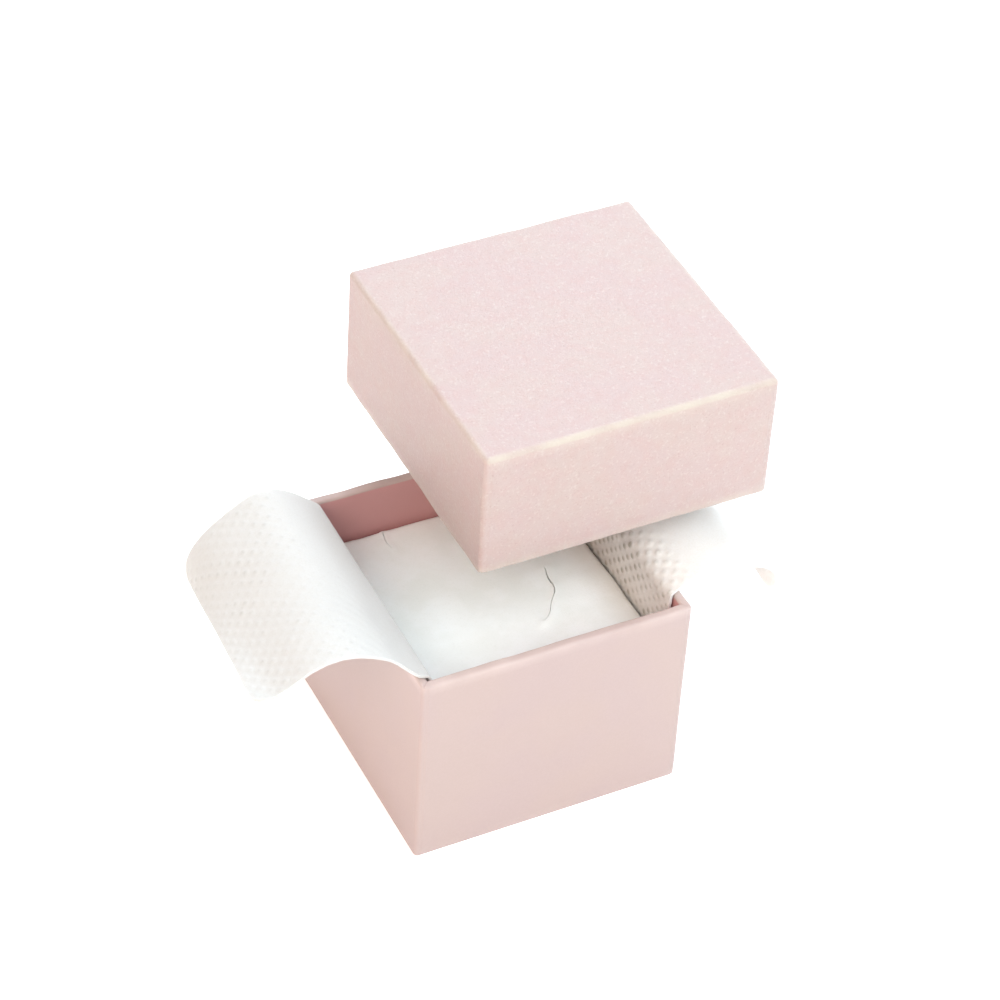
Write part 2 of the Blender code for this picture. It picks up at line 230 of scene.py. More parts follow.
class Finish:
    """A procedural material: a Principled shader and short calls that add nodes to it."""

    def __init__(self, name, roughness, specular=0.5):
        self.material = bpy.data.materials.new(name)
        self.material.use_nodes = True
        self.nodes = self.material.node_tree.nodes
        self.links = self.material.node_tree.links
        self.shader = self.nodes["Principled BSDF"]
        self.shader.inputs["Roughness"].default_value = roughness
        self.shader.inputs["Specular IOR Level"].default_value = specular
        self.place = self.nodes.new("ShaderNodeTexCoord").outputs["Object"]

    def noise(self, size, detail=3.0, rough=0.55, distortion=0.0):
        """Noise whose features are about that size in metres. Output 0 to 1."""
        node = self.nodes.new("ShaderNodeTexNoise")
        node.inputs["Scale"].default_value = 1 / size
        node.inputs["Detail"].default_value = detail
        node.inputs["Roughness"].default_value = rough
        node.inputs["Distortion"].default_value = distortion
        self.links.new(self.place, node.inputs["Vector"])
        return node.outputs["Fac"]

    def cells(self, size):
        """Distance to the middle of the nearest cell, for cells of about that size in metres."""
        node = self.nodes.new("ShaderNodeTexVoronoi")
        node.inputs["Scale"].default_value = 1 / size
        self.links.new(self.place, node.inputs["Vector"])
        return node.outputs["Distance"]

    def attribute(self, name):
        """A value stored on the piece's points."""
        node = self.nodes.new("ShaderNodeAttribute")
        node.attribute_name = name
        return node.outputs["Fac"]

    def ramp(self, value, low, high, low_out=0.0, high_out=1.0):
        """The value taken smoothly from the range low to high onto low_out to high_out."""
        node = self.nodes.new("ShaderNodeMapRange")
        node.interpolation_type = "SMOOTHSTEP"
        node.inputs["From Min"].default_value = low
        node.inputs["From Max"].default_value = high
        node.inputs["To Min"].default_value = low_out
        node.inputs["To Max"].default_value = high_out
        self.links.new(value, node.inputs["Value"])
        return node.outputs["Result"]

    def math(self, operation, a, b):
        """A sum on two values, each a socket or a plain number."""
        node = self.nodes.new("ShaderNodeMath")
        node.operation = operation
        for socket, value in zip(node.inputs, (a, b)):
            if isinstance(value, (int, float)):
                socket.default_value = value
            else:
                self.links.new(value, socket)
        return node.outputs["Value"]

    def mix(self, share, a, b):
        """Colour a where the share is 0 and colour b where it is 1."""
        node = self.nodes.new("ShaderNodeMix")
        node.data_type = "RGBA"
        self.links.new(share, node.inputs["Factor"])
        for socket, value in ((node.inputs["A"], a), (node.inputs["B"], b)):
            if isinstance(value, tuple):
                socket.default_value = value
            else:
                self.links.new(value, socket)
        return node.outputs["Result"]

    def colour(self, value):
        self.links.new(value, self.shader.inputs["Base Color"])

    def roughness(self, value):
        self.links.new(value, self.shader.inputs["Roughness"])

    def bump(self, height, distance, strength=1.0):
        node = self.nodes.new("ShaderNodeBump")
        node.inputs["Distance"].default_value = distance
        node.inputs["Strength"].default_value = strength
        self.links.new(height, node.inputs["Height"])
        self.links.new(node.outputs["Normal"], self.shader.inputs["Normal"])


def lid_paper():
    """Pearly pink paper with a fine pebbled grain, a faint cream mottle and cream edges: rub wear
    and painted highlight.
    """
    finish = Finish("lid_pearl_paper", 0.5, 0.45)
    pink = srgb(187, 164, 160)
    cream = srgb(187, 166, 160)
    patches = finish.ramp(finish.noise(9 * MM, 2.0), 0.40, 0.62)
    body = finish.mix(patches, pink, cream)
    mottle = finish.ramp(finish.noise(2.2 * MM, 3.0), 0.38, 0.68)
    body = finish.mix(finish.math("MULTIPLY", mottle, 0.26), body, srgb(188, 152, 146))
    grain = finish.noise(0.42 * MM, 3.0, 0.6)
    flecks = finish.ramp(finish.noise(0.50 * MM, 2.0, 0.5, 0.4), 0.55, 0.72)
    pits = finish.ramp(grain, 0.30, 0.46, 1.0, 0.0)
    body = finish.mix(finish.math("MULTIPLY", pits, 0.50), body, srgb(171, 142, 135))
    body = finish.mix(finish.math("MULTIPLY", flecks, 0.40), body, srgb(202, 189, 182))
    # Cream along the edges: partly rub wear, partly painted highlight, strongest on the front
    # edges.
    rub_and_highlight = finish.math("MULTIPLY", finish.attribute("edge"), 0.75)
    body = finish.mix(rub_and_highlight, body, srgb(207, 197, 182))
    finish.colour(body)
    finish.roughness(finish.ramp(grain, 0.3, 0.7, 0.42, 0.60))
    finish.bump(grain, 0.14 * MM, 0.85)
    finish.shader.inputs["Sheen Weight"].default_value = 0.12
    finish.shader.inputs["Sheen Roughness"].default_value = 0.4
    return finish.material


def base_paper():
    """Smooth matt pink paper, slightly cloudy, with deeper pink inner walls as painted colour bleed
    and a paler rim and edges as rub wear and painted highlight.
    """
    finish = Finish("base_matt_paper", 0.58, 0.4)
    clouds = finish.ramp(finish.noise(14 * MM, 2.0), 0.35, 0.65)
    body = finish.mix(clouds, srgb(183, 161, 157), srgb(184, 162, 156))
    fibres = finish.noise(0.30 * MM, 4.0, 0.6)
    body = finish.mix(finish.ramp(fibres, 0.35, 0.7, 0.0, 0.18), body, srgb(195, 174, 171))
    # Paler colour along the rim and edges: partly rub wear, partly painted highlight.
    rub_and_highlight = finish.math("MULTIPLY", finish.attribute("edge"), 0.75)
    # Deeper pink on the inner walls of the same wrap paper: painted colour bleed, standing in for
    # light bounced between the pink walls.
    body = finish.mix(finish.attribute("inside"), body, srgb(206, 153, 152))
    body = finish.mix(rub_and_highlight, body, srgb(217, 198, 192))
    finish.colour(body)
    finish.bump(fibres, 0.03 * MM, 0.6)
    return finish.material


def liner_paper():
    """Slightly cloudy pink paper pasted inside the tray and the lid."""
    finish = Finish("pink_liner_paper", 0.7, 0.35)
    clouds = finish.ramp(finish.noise(6 * MM, 3.0), 0.35, 0.65)
    finish.colour(finish.mix(clouds, srgb(206, 170, 166), srgb(214, 180, 175)))
    finish.bump(finish.noise(0.25 * MM, 4.0), 0.03 * MM, 0.6)
    return finish.material


def greyboard():
    """Recycled grey board with pale and dark fibres."""
    finish = Finish("greyboard", 0.92, 0.2)
    clouds = finish.ramp(finish.noise(3 * MM, 4.0), 0.3, 0.7)
    body = finish.mix(clouds, srgb(146, 138, 128), srgb(164, 156, 146))
    fibres = finish.noise(0.5 * MM, 5.0, 0.7, 1.5)
    body = finish.mix(finish.ramp(fibres, 0.60, 0.72, 0.0, 0.6), body, srgb(196, 190, 180))
    body = finish.mix(finish.ramp(fibres, 0.34, 0.26, 0.0, 0.6), body, srgb(104, 98, 92))
    finish.colour(body)
    finish.bump(fibres, 0.08 * MM, 0.7)
    return finish.material


def kraft_tape():
    """Brown paper tape with long fibres."""
    finish = Finish("kraft_tape", 0.7, 0.35)
    fibres = finish.noise(0.8 * MM, 5.0, 0.65, 2.0)
    body = finish.mix(finish.ramp(fibres, 0.35, 0.65), srgb(184, 150, 108), srgb(206, 176, 136))
    finish.colour(body)
    finish.bump(fibres, 0.04 * MM, 0.6)
    return finish.material


def white_foam():
    """Open-cell foam: small pits all over."""
    finish = Finish("white_foam", 0.95, 0.2)
    cells = finish.cells(0.55 * MM)
    pits = finish.ramp(cells, 0.1, 0.5)
    finish.colour(finish.mix(pits, srgb(222, 219, 213), srgb(244, 243, 240)))
    finish.bump(pits, 0.20 * MM, 0.8)
    return finish.material


def pad_cloth():
    """Soft white non-woven cloth with a faint warm cloudiness and short fibres."""
    finish = Finish("pad_cloth", 0.82, 0.3)
    clouds = finish.ramp(finish.noise(7 * MM, 3.0), 0.35, 0.68)
    body = finish.mix(clouds, srgb(243, 246, 242), srgb(249, 252, 250))
    fibres = finish.noise(0.35 * MM, 5.0, 0.65, 1.2)
    body = finish.mix(finish.ramp(fibres, 0.34, 0.5, 0.22, 0.0), body, srgb(226, 228, 221))
    finish.colour(body)
    finish.bump(fibres, 0.06 * MM, 0.6)
    finish.shader.inputs["Sheen Weight"].default_value = 0.15
    finish.shader.inputs["Sheen Roughness"].default_value = 0.6
    return finish.material


SHEET_WARM = (200, 197, 193)
SHEET_PALE = (203, 201, 198)
# Grey of the painted shade in the dimples.
SHEET_DIMPLE_SHADE = (147, 143, 134)


def embossed_sheet(name, lightness, dimple_shade):
    """White foamed sheet with a fine skin, its colours scaled by lightness, with painted shade
    greying the bottoms of its dimples.
    """
    finish = Finish(name, 0.65, 0.25)
    warm, pale, grey = (
        tuple(round(channel * lightness) for channel in colour)
        for colour in (SHEET_WARM, SHEET_PALE, SHEET_DIMPLE_SHADE)
    )
    finish.shader.inputs["Subsurface Weight"].default_value = 0.45
    finish.shader.inputs["Subsurface Radius"].default_value = (1.0, 1.0, 1.0)
    finish.shader.inputs["Subsurface Scale"].default_value = 1.2 * MM
    skin = finish.noise(0.30 * MM, 4.0, 0.6)
    body = finish.mix(finish.ramp(skin, 0.3, 0.6), srgb(*warm), srgb(*pale))
    # Painted shade in the dimples: stronger where the dimple value is high, and uneven in large
    # patches.
    deep = finish.ramp(finish.attribute("dimple"), 0.30, 1.5, 0.0, dimple_shade)
    shade_patches = finish.ramp(finish.noise(9 * MM, 2.0), 0.35, 0.62, 0.3, 1.0)
    body = finish.mix(finish.math("MULTIPLY", deep, shade_patches), body, srgb(*grey))
    finish.colour(body)
    finish.bump(skin, 0.04 * MM, 0.6)
    return finish.material


# ---------------------------------------------------------------- mesh helpers
SHARP_DEGREES = 50
SHARP_DEGREES_SHEET = 60


def shade(mesh, sharp_degrees):
    mesh.shade_smooth()
    mesh.set_sharp_from_angle(angle=math.radians(sharp_degrees))


def add_piece(name, vertices, faces, material, attributes=None, sharp_degrees=SHARP_DEGREES):
    """Visible piece with smooth shading and the named values stored on its points."""
    mesh = bpy.data.meshes.new(name)
    mesh.from_pydata([tuple(v) for v in vertices], [], faces)
    mesh.validate()
    mesh.materials.append(material)
    for label, values in (attributes or {}).items():
        layer = mesh.attributes.new(label, "FLOAT", "POINT")
        layer.data.foreach_set("value", values)
    shade(mesh, sharp_degrees)
    return link(bpy.data.objects.new(name, mesh))


def arc(centre, radius, start_degrees, sweep_degrees, steps):
    """Points along an arc, both ends included."""
    points = []
    for step in range(steps + 1):
        angle = math.radians(start_degrees + sweep_degrees * step / steps)
        points.append((centre[0] + radius * math.cos(angle), centre[1] + radius * math.sin(angle)))
    return points


def straight(start, end, step, include_start=False):
    """Points from start to end, evenly spaced at about that step, end included."""
    length = math.dist(start, end)
    count = max(1, round(length / step))
    first = 0 if include_start else 1
    return [
        tuple(a + (b - a) * k / count for a, b in zip(start, end))
        for k in range(first, count + 1)
    ]


def smoothstep(low, high, value):
    t = min(max((value - low) / (high - low), 0.0), 1.0)
    return t * t * (3 - 2 * t)


def wave(point, size, seed=0.0):
    """Smooth noise from about -1 to 1 whose waves are about that size in metres."""
    return 2 * noise.noise(Vector(point) / size + Vector((seed, seed * 1.7, -seed)))


def side_places(length, spacing, near_ends):
    """Places along a straight side, 0 to 1 with the ends left out, closer together at the ends."""
    inner = [d / length for d in near_ends]
    span = 1 - 2 * inner[-1]
    count = max(2, round(span * length / spacing))
    middle = [inner[-1] + span * k / count for k in range(1, count)]
    return inner + middle + [1 - f for f in reversed(inner)]


class RoundedBlock:
    """Closed mesh swept through rounded rectangles, its two ends closed with even grids.

    The profile lists (inset from the outer half sizes, z). Its first and last points are the
    borders of the closing grids.
    """

    def __init__(self, half_x, half_y, corner, profile, spacing, near_ends, arc_steps=6):
        self.vertices = []
        self.faces = []
        self.half_x = half_x
        self.half_y = half_y
        self.corner = corner
        self.arc_steps = arc_steps
        self.places_x = side_places(2 * (half_x - corner), spacing, near_ends)
        self.places_y = side_places(2 * (half_y - corner), spacing, near_ends)
        rings = [self.ring(inset, z) for inset, z in profile[1:-1]]
        for lower, upper in zip(rings, rings[1:]):
            self.join(self.loop(lower), self.loop(upper))
        self.close(rings[0], *profile[0], flip=True)
        self.close(rings[-1], *profile[-1], flip=False)

    def add(self, x, y, z):
        self.vertices.append(Vector((x, y, z)))
        return len(self.vertices) - 1

    def ring(self, inset, z):
        """Corner arcs and straight sides of one rounded rectangle, as vertex numbers."""
        radius = max(self.corner - inset, SMALLEST_CORNER)
        a = self.half_x - inset - radius
        b = self.half_y - inset - radius
        arcs = []
        for sx, sy, start in ((1, -1, -90), (1, 1, 0), (-1, 1, 90), (-1, -1, 180)):
            points = arc((sx * a, sy * b), radius, start, 90, self.arc_steps)
            arcs.append([self.add(x, y, z) for x, y in points])
        far_x = a + radius
        far_y = b + radius
        sides = [
            [self.add(far_x, -b + 2 * b * f, z) for f in self.places_y],
            [self.add(a - 2 * a * f, far_y, z) for f in self.places_x],
            [self.add(-far_x, b - 2 * b * f, z) for f in self.places_y],
            [self.add(-a + 2 * a * f, -far_y, z) for f in self.places_x],
        ]
        return arcs, sides

    @staticmethod
    def loop(ring):
        """The ring's vertex numbers in order around it."""
        arcs, sides = ring
        return [v for pair in zip(arcs, sides) for part in pair for v in part]

    def join(self, lower, upper):
        """Faces between two loops."""
        for index in range(len(lower)):
            following = (index + 1) % len(lower)
            self.faces.append((lower[index], lower[following], upper[following], upper[index]))

    def close(self, ring, inset, z, flip):
        """Even grid inside a ring, joined to it."""
        a = self.half_x - inset
        b = self.half_y - inset
        xs = [-a] + [-a + 2 * a * f for f in self.places_x] + [a]
        ys = [-b] + [-b + 2 * b * f for f in self.places_y] + [b]
        grid = [[self.add(x, y, z) for y in ys] for x in xs]
        made = []
        for i in range(len(xs) - 1):
            for j in range(len(ys) - 1):
                made.append((grid[i][j], grid[i + 1][j], grid[i + 1][j + 1], grid[i][j + 1]))
        arcs, sides = ring
        corners = [grid[-1][0], grid[-1][-1], grid[0][-1], grid[0][0]]
        inner_sides = [
            grid[-1][1:-1],
            [column[-1] for column in reversed(grid[1:-1])],
            list(reversed(grid[0][1:-1])),
            [column[0] for column in grid[1:-1]],
        ]
        for k in range(4):
            for first, second in zip(arcs[k], arcs[k][1:]):
                made.append((first, second, corners[k]))
            outer = [arcs[k][-1]] + sides[k] + [arcs[(k + 1) % 4][0]]
            inner = [corners[k]] + inner_sides[k] + [corners[(k + 1) % 4]]
            for index in range(len(outer) - 1):
                made.append((outer[index], outer[index + 1], inner[index + 1], inner[index]))
        self.faces += [tuple(reversed(face)) for face in made] if flip else made


# ---------------------------------------------------------------- paper-covered tray and lid
NEAR_CORNER = [0.12 * MM, 0.26 * MM, 0.36 * MM, 0.6 * MM, 1.0 * MM, 1.7 * MM]
WRAP_STEP = 1.6 * MM
WRAP_GRID = 1.25 * MM
WRAP_GRID_EDGE = 0.3 * MM
TRAY_SEED = 3.0
LID_SEED = 11.0
LID_WAVINESS = 0.04 * MM
# Strengths of the paler edge colour, rub wear and painted highlight; the front edges, which face
# the lamps, get full strength and the other sides less.
TRAY_EDGE_RUB_AND_HIGHLIGHT = 0.25
LID_EDGE_RUB_AND_HIGHLIGHT = 1.0
SIDE_EDGE_RUB_AND_HIGHLIGHT = 0.55
RIM_RUB_AND_HIGHLIGHT = 0.7
UPRIGHT_RUB_AND_HIGHLIGHT = 0.12
LONG_BOW = 0.05 * MM
SHORT_BOW = 0.02 * MM
TOP_BOW = 0.05 * MM
MITRE_DIP = 0.13 * MM
RIM_UNEVEN = 0.07 * MM


def wrap_profile(height, closed_edge, turn_in, step):
    """Section of the covering paper, from its closed face to its inner closed face."""
    outer = arc((closed_edge, closed_edge), closed_edge, 270, -90, 5)
    outer += straight(outer[-1], (0.0, height - RIM_RADIUS), step)
    outer += arc((RIM_RADIUS, height - RIM_RADIUS), RIM_RADIUS, 180, -90, 5)[1:]
    outer += arc((WALL - RIM_RADIUS, height - RIM_RADIUS), RIM_RADIUS, 90, -90, 5)
    outer += straight(outer[-1], (WALL, height - turn_in), step)
    inner_rim = RIM_RADIUS - PAPER
    inner_edge = closed_edge - PAPER
    inner = [(WALL - PAPER, height - turn_in)]
    inner += arc((WALL - RIM_RADIUS, height - RIM_RADIUS), inner_rim, 0, 90, 3)
    inner += arc((RIM_RADIUS, height - RIM_RADIUS), inner_rim, 90, 90, 3)
    inner += arc((closed_edge, closed_edge), inner_edge, 180, 90, 3)
    return outer + inner


def edge_wear_and_highlight(point, half, height, closed_edge, edge_rub_and_highlight, seed):
    """How pale the paper is painted at a point, 0 to 1, as rub wear and painted highlight: at the
    closed edges, the rim and the corners.
    """
    x, y, z = point
    depth = half - max(abs(x), abs(y))
    past_edge = math.hypot(depth, z) - 0.35 * closed_edge
    closed_rub_and_highlight = 1 - smoothstep(0.1 * MM, 0.9 * MM, past_edge)
    # Painted highlight: front edges at full strength, the other sides weaker.
    closed_rub_and_highlight *= edge_rub_and_highlight * (1.0 if y < 0 and abs(y) > abs(x) else SIDE_EDGE_RUB_AND_HIGHLIGHT)
    rim_rub_and_highlight = 1 - smoothstep(0.25 * MM, 0.95 * MM, height - z)
    from_corner = half - min(abs(x), abs(y))
    upright_rub_and_highlight = UPRIGHT_RUB_AND_HIGHLIGHT * (1 - smoothstep(0.1 * MM, 0.6 * MM, from_corner))
    uneven = 0.75 + 0.35 * wave(point, 4 * MM, seed + 5)
    edge = max(closed_rub_and_highlight, RIM_RUB_AND_HIGHLIGHT * rim_rub_and_highlight * (depth < WALL), upright_rub_and_highlight * (depth < PAPER))
    return min(max(edge * uneven, 0.0), 1.0)


def hand_made(point, half, height, corner, closed_edge, waviness, seed, is_lid):
    """The point moved as hand-folded paper lies: bowed walls, soft edges, dips at the mitres."""
    x, y, z = point
    depth = half - max(abs(x), abs(y))
    from_rim = height - z
    outside = depth < WALL / 2 and z > closed_edge
    out = Vector((math.copysign(1, x) if abs(x) > abs(y) else 0.0,
                  math.copysign(1, y) if abs(y) >= abs(x) else 0.0, 0.0))
    bow = wave(point, 16 * MM, seed) * LONG_BOW + wave(point, 6 * MM, seed + 2) * SHORT_BOW
    moved = Vector(point)
    if depth < WALL + PAPER:
        moved += out * bow * smoothstep(0, 3 * MM, z)
    if z < closed_edge + 0.5 * MM:
        rise = smoothstep(0.0, 4 * MM, depth)
        moved.z += wave(point, 14 * MM, seed + 9) * TOP_BOW * rise * (1 if is_lid else 0)
        near = 1 - smoothstep(0.2 * MM, 2.2 * MM, depth)
        soft = wave(point, 5.5 * MM, seed + 3) * waviness * near
        moved.z += soft
        moved -= out * soft
    if outside and abs(y) > abs(x) and half - abs(x) > corner + WRAP_GRID_EDGE:
        below_rim = smoothstep(0.0, RIM_RADIUS, z - (height - RIM_RADIUS))
        moved += out * PANEL_STEP * (1 - below_rim)
    if from_rim < RIM_RADIUS and depth < WALL:
        off_mitre = abs(abs(x) - abs(y))
        fold = 1 - smoothstep(0.05 * MM, 0.30 * MM, off_mitre)
        moved.z -= MITRE_DIP * fold
        moved.z += RIM_UNEVEN * wave(point, 3.5 * MM, seed + 7)
    return moved


def paper_tray(name, half, height, corner, closed_edge, turn_in, waviness, edge_rub_and_highlight, seed,
               material, centre, ground, is_lid):
    """Paper-covered tray, open upwards, or turned over as a lid."""
    profile = wrap_profile(height, closed_edge, turn_in, WRAP_STEP)
    grid_inset = max(corner, closed_edge) + WRAP_GRID_EDGE
    profile = [(grid_inset, 0.0)] + profile + [(grid_inset, PAPER)]
    block = RoundedBlock(half, half, corner, profile, WRAP_GRID, NEAR_CORNER)
    rub_and_highlight_share = []
    inner_wall_bleed_share = []
    placed = []
    for point in block.vertices:
        rub_and_highlight_share.append(edge_wear_and_highlight(point, half, height, closed_edge, edge_rub_and_highlight, seed))
        depth = half - max(abs(point.x), abs(point.y))
        # Inner wall below the rim: where the painted colour bleed goes.
        on_inner_wall = WALL - 2 * PAPER < depth < WALL + PAPER
        inner_wall_bleed_share.append(1.0 if on_inner_wall and height - point.z > RIM_RADIUS else 0.0)
        moved = hand_made(point, half, height, corner, closed_edge, waviness, seed, is_lid)
        if is_lid:
            moved.z = height - moved.z
        placed.append(moved + Vector((centre.x, centre.y, ground)))
    faces = [tuple(reversed(face)) for face in block.faces] if is_lid else block.faces
    return add_piece(name, placed, faces, material, {"edge": rub_and_highlight_share, "inside": inner_wall_bleed_share})


def build_tray():
    tray = paper_tray("tray_cover_paper", BASE_HALF, RIM_Z, BASE_CORNER, BASE_FLOOR_EDGE,
                      BASE_TURN_IN, 0.0, TRAY_EDGE_RUB_AND_HIGHLIGHT, TRAY_SEED, base_paper(),
                      centre=Vector((0, 0, 0)), ground=0.0, is_lid=False)
    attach(tray, "base")
    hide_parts("base_wrap")


def build_lid():
    lid = paper_tray("lid_cover_paper", LID_HALF, LID_HEIGHT, LID_CORNER, LID_TOP_EDGE,
                     LID_TURN_IN, LID_WAVINESS, LID_EDGE_RUB_AND_HIGHLIGHT, LID_SEED, lid_paper(),
                     centre=LID_CENTRE, ground=lid_low.z, is_lid=True)
    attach(lid, "lid")
    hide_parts("lid_wrap")


# ---------------------------------------------------------------- pad
RING_SLIT_CENTRE = Vector((-1.8 * MM, 1.8 * MM))
RING_SLIT_RADIUS = 13.1 * MM
RING_SLIT_ANGLES = (3, -57)
TAB_SLIT_X = -10.7 * MM
TAB_SLIT_LENGTH = 5.5 * MM
TAB_SLIT_STEPS = 8
SLIT_PAST_EDGE = 0.3 * MM
SLIT_DEPTH = 12 * MM
SLIT_ABOVE = 2 * MM
RING_SLIT_WIDTH = 0.07
RING_SLIT_GAPE = 0.24
RING_SLIT_WIDEST = 0.24
PAD_CELL = 0.55 * MM
PAD_GRID_EDGE = 0.3 * MM
PAD_EDGE_BAND = 0.9
FOAM_EDGE = 1.0 * MM
FOAM_CORNER = 1.5 * MM
FOAM_INSET = 2.0 * MM


def ring_slit_line(steps=24):
    """Plan of the curved slit that a ring is pushed into."""
    first, last = RING_SLIT_ANGLES
    points = []
    for step in range(steps + 1):
        angle = first + (last - first) * step / steps
        a = math.radians(angle)
        wobble = 0.25 * MM * math.sin(0.22 * angle)
        radius = RING_SLIT_RADIUS + wobble
        points.append(RING_SLIT_CENTRE + radius * Vector((math.cos(a), math.sin(a))))
    return points


def tab_slit_line():
    """Plan of the short slit at the pad's back edge."""
    start = PAD_HALF_Y + SLIT_PAST_EDGE
    length = TAB_SLIT_LENGTH + SLIT_PAST_EDGE
    return [
        Vector((TAB_SLIT_X + 0.16 * MM * math.sin(0.9 * k), start - length * k / TAB_SLIT_STEPS))
        for k in range(TAB_SLIT_STEPS + 1)
    ]


def distance_to_line(x, y, line):
    """Plan distance from a place to the nearest point of the line."""
    return min((Vector((x, y)) - p).length for p in line)


RING_LINE = ring_slit_line()
TAB_LINE = tab_slit_line()


def cover_height(x, y):
    """How far the pad's soft face stands over its flat level at a place in plan."""
    point = (x, y, 0)
    rise = 0.10 * MM + wave(point, 17 * MM, 21) * 0.16 * MM + wave(point, 7 * MM, 23) * 0.07 * MM
    rise += abs(wave((x * 0.6, y * 1.4, 0), 5 * MM, 27)) * 0.07 * MM
    corner = math.hypot(x + PAD_HALF_X, y - PAD_HALF_Y)
    rise += 0.30 * MM * wave(point, 3.2 * MM, 29) * (1 - smoothstep(4 * MM, 15 * MM, corner))
    near_ring = distance_to_line(x, y, RING_LINE)
    if near_ring < 3 * MM:
        outside = (Vector((x, y)) - RING_SLIT_CENTRE).length > RING_SLIT_RADIUS
        lip = 0.34 * MM if outside else 0.16 * MM
        rise += lip * math.exp(-(near_ring / (1.1 * MM)) ** 2)
    near_tab = distance_to_line(x, y, TAB_LINE)
    if near_tab < 3 * MM:
        lip = 0.30 * MM if x > TAB_SLIT_X else 0.10 * MM
        rise += lip * math.exp(-(near_tab / (1.0 * MM)) ** 2)
    return rise


def slit_blade(name, line, widths, top, depth):
    """Upright blade along a plan line, to be cut out of the pad."""
    vertices = []
    faces = []
    for index, point in enumerate(line):
        before = line[max(index - 1, 0)]
        after = line[min(index + 1, len(line) - 1)]
        along = (after - before).normalized()
        offset = Vector((-along.y, along.x)) * widths[index] / 2
        for side, z in ((1, top), (-1, top), (-1, top - depth), (1, top - depth)):
            vertices.append((point.x + side * offset.x, point.y + side * offset.y, z))
    for index in range(len(line) - 1):
        near = [4 * index + k for k in range(4)]
        far = [4 * index + 4 + k for k in range(4)]
        for k in range(4):
            faces.append((near[k], far[k], far[(k + 1) % 4], near[(k + 1) % 4]))
    faces.append((0, 1, 2, 3))
    last = 4 * (len(line) - 1)
    faces.append((last + 3, last + 2, last + 1, last))
    mesh = bpy.data.meshes.new(name)
    mesh.from_pydata(vertices, [], faces)
    shell = bmesh.new()
    shell.from_mesh(mesh)
    bmesh.ops.recalc_face_normals(shell, faces=shell.faces)
    shell.to_mesh(mesh)
    shell.free()
    return link(bpy.data.objects.new(name, mesh))


def cut_slits(piece, blades):
    """The piece with every blade's shape cut out of its mesh."""
    for blade in blades:
        modifier = piece.modifiers.new(blade.name, "BOOLEAN")
        modifier.operation = "DIFFERENCE"
        modifier.solver = "EXACT"
        modifier.object = blade
    depsgraph = bpy.context.evaluated_depsgraph_get()
    cut = bpy.data.meshes.new_from_object(piece.evaluated_get(depsgraph))
    piece.modifiers.clear()
    piece.data = cut
    shade(piece.data, SHARP_DEGREES)


def pad_cover():
    """Soft cloth face over the foam's top and sides."""
    bottom = cover_low.z
    edge_centre = (PAD_EDGE, PAD_TOP - PAD_EDGE)
    inner = arc(edge_centre, PAD_EDGE - PAD_COVER, 90, 90, 3)
    inner += straight(inner[-1], (PAD_COVER, bottom), 2.5 * MM)
    outer = straight((0.0, bottom), (0.0, PAD_TOP - PAD_EDGE), 1.2 * MM, include_start=True)
    outer += arc(edge_centre, PAD_EDGE, 180, -90, 6)[1:]
    grid_inset = PAD_CORNER + PAD_GRID_EDGE
    profile = [(grid_inset, PAD_TOP - PAD_COVER)] + inner + outer + [(grid_inset, PAD_TOP)]
    block = RoundedBlock(PAD_HALF_X, PAD_HALF_Y, PAD_CORNER, profile, PAD_CELL, [0.4 * MM])
    placed = []
    for point in block.vertices:
        level = smoothstep(PAD_TOP - 5 * MM, PAD_TOP - 0.6 * MM, point.z)
        moved = Vector(point)
        if level > 0:
            moved.z += cover_height(point.x, point.y) * level
        pull = 0.10 * MM + 0.12 * MM * wave(point, 6 * MM, 31)
        side = Vector((point.x / PAD_HALF_X, point.y / PAD_HALF_Y, 0))
        strongest = max(abs(side.x), abs(side.y))
        if strongest > PAD_EDGE_BAND:
            side.x = side.x if abs(side.x) == strongest else 0.0
            side.y = side.y if abs(side.y) == strongest else 0.0
            moved -= side * pull
        placed.append(moved)
    return add_piece("pad_face_cloth", placed, block.faces, pad_cloth())


def pad_block():
    """Foam block under the cloth, its cut sides slightly uneven."""
    profile = arc((FOAM_EDGE, foam_low.z + FOAM_EDGE), FOAM_EDGE, 270, -90, 3)
    profile += straight(profile[-1], (0.0, foam_high.z - FOAM_EDGE), 2 * MM)
    profile += arc((FOAM_EDGE, foam_high.z - FOAM_EDGE), FOAM_EDGE, 180, -90, 3)[1:]
    profile = [(FOAM_INSET, foam_low.z)] + profile + [(FOAM_INSET, foam_high.z)]
    block = RoundedBlock(foam_high.x, foam_high.y, FOAM_CORNER, profile, 1.6 * MM, [0.8 * MM])
    placed = []
    for point in block.vertices:
        shrink = 1 - (0.004 + 0.003 * wave(point, 5 * MM, 41))
        placed.append(Vector((point.x * shrink, point.y * shrink, point.z)))
    return add_piece("pad_foam_block", placed, block.faces, white_foam())


def slit_blades():
    """Blades for the ring slit, which gapes at one place, and for the tapering tab slit."""
    top = PAD_TOP + SLIT_ABOVE
    ring_widths = []
    for index in range(len(RING_LINE)):
        t = index / (len(RING_LINE) - 1)
        gape = RING_SLIT_GAPE * math.exp(-((t - RING_SLIT_WIDEST) / 0.15) ** 2)
        ring_widths.append((RING_SLIT_WIDTH + gape) * MM)
    tab_widths = [(0.20 - 0.017 * k) * MM for k in range(len(TAB_LINE))]
    return [
        slit_blade("ring_slit_blade", RING_LINE, ring_widths, top, SLIT_DEPTH),
        slit_blade("tab_slit_blade", TAB_LINE, tab_widths, top, SLIT_DEPTH),
    ]


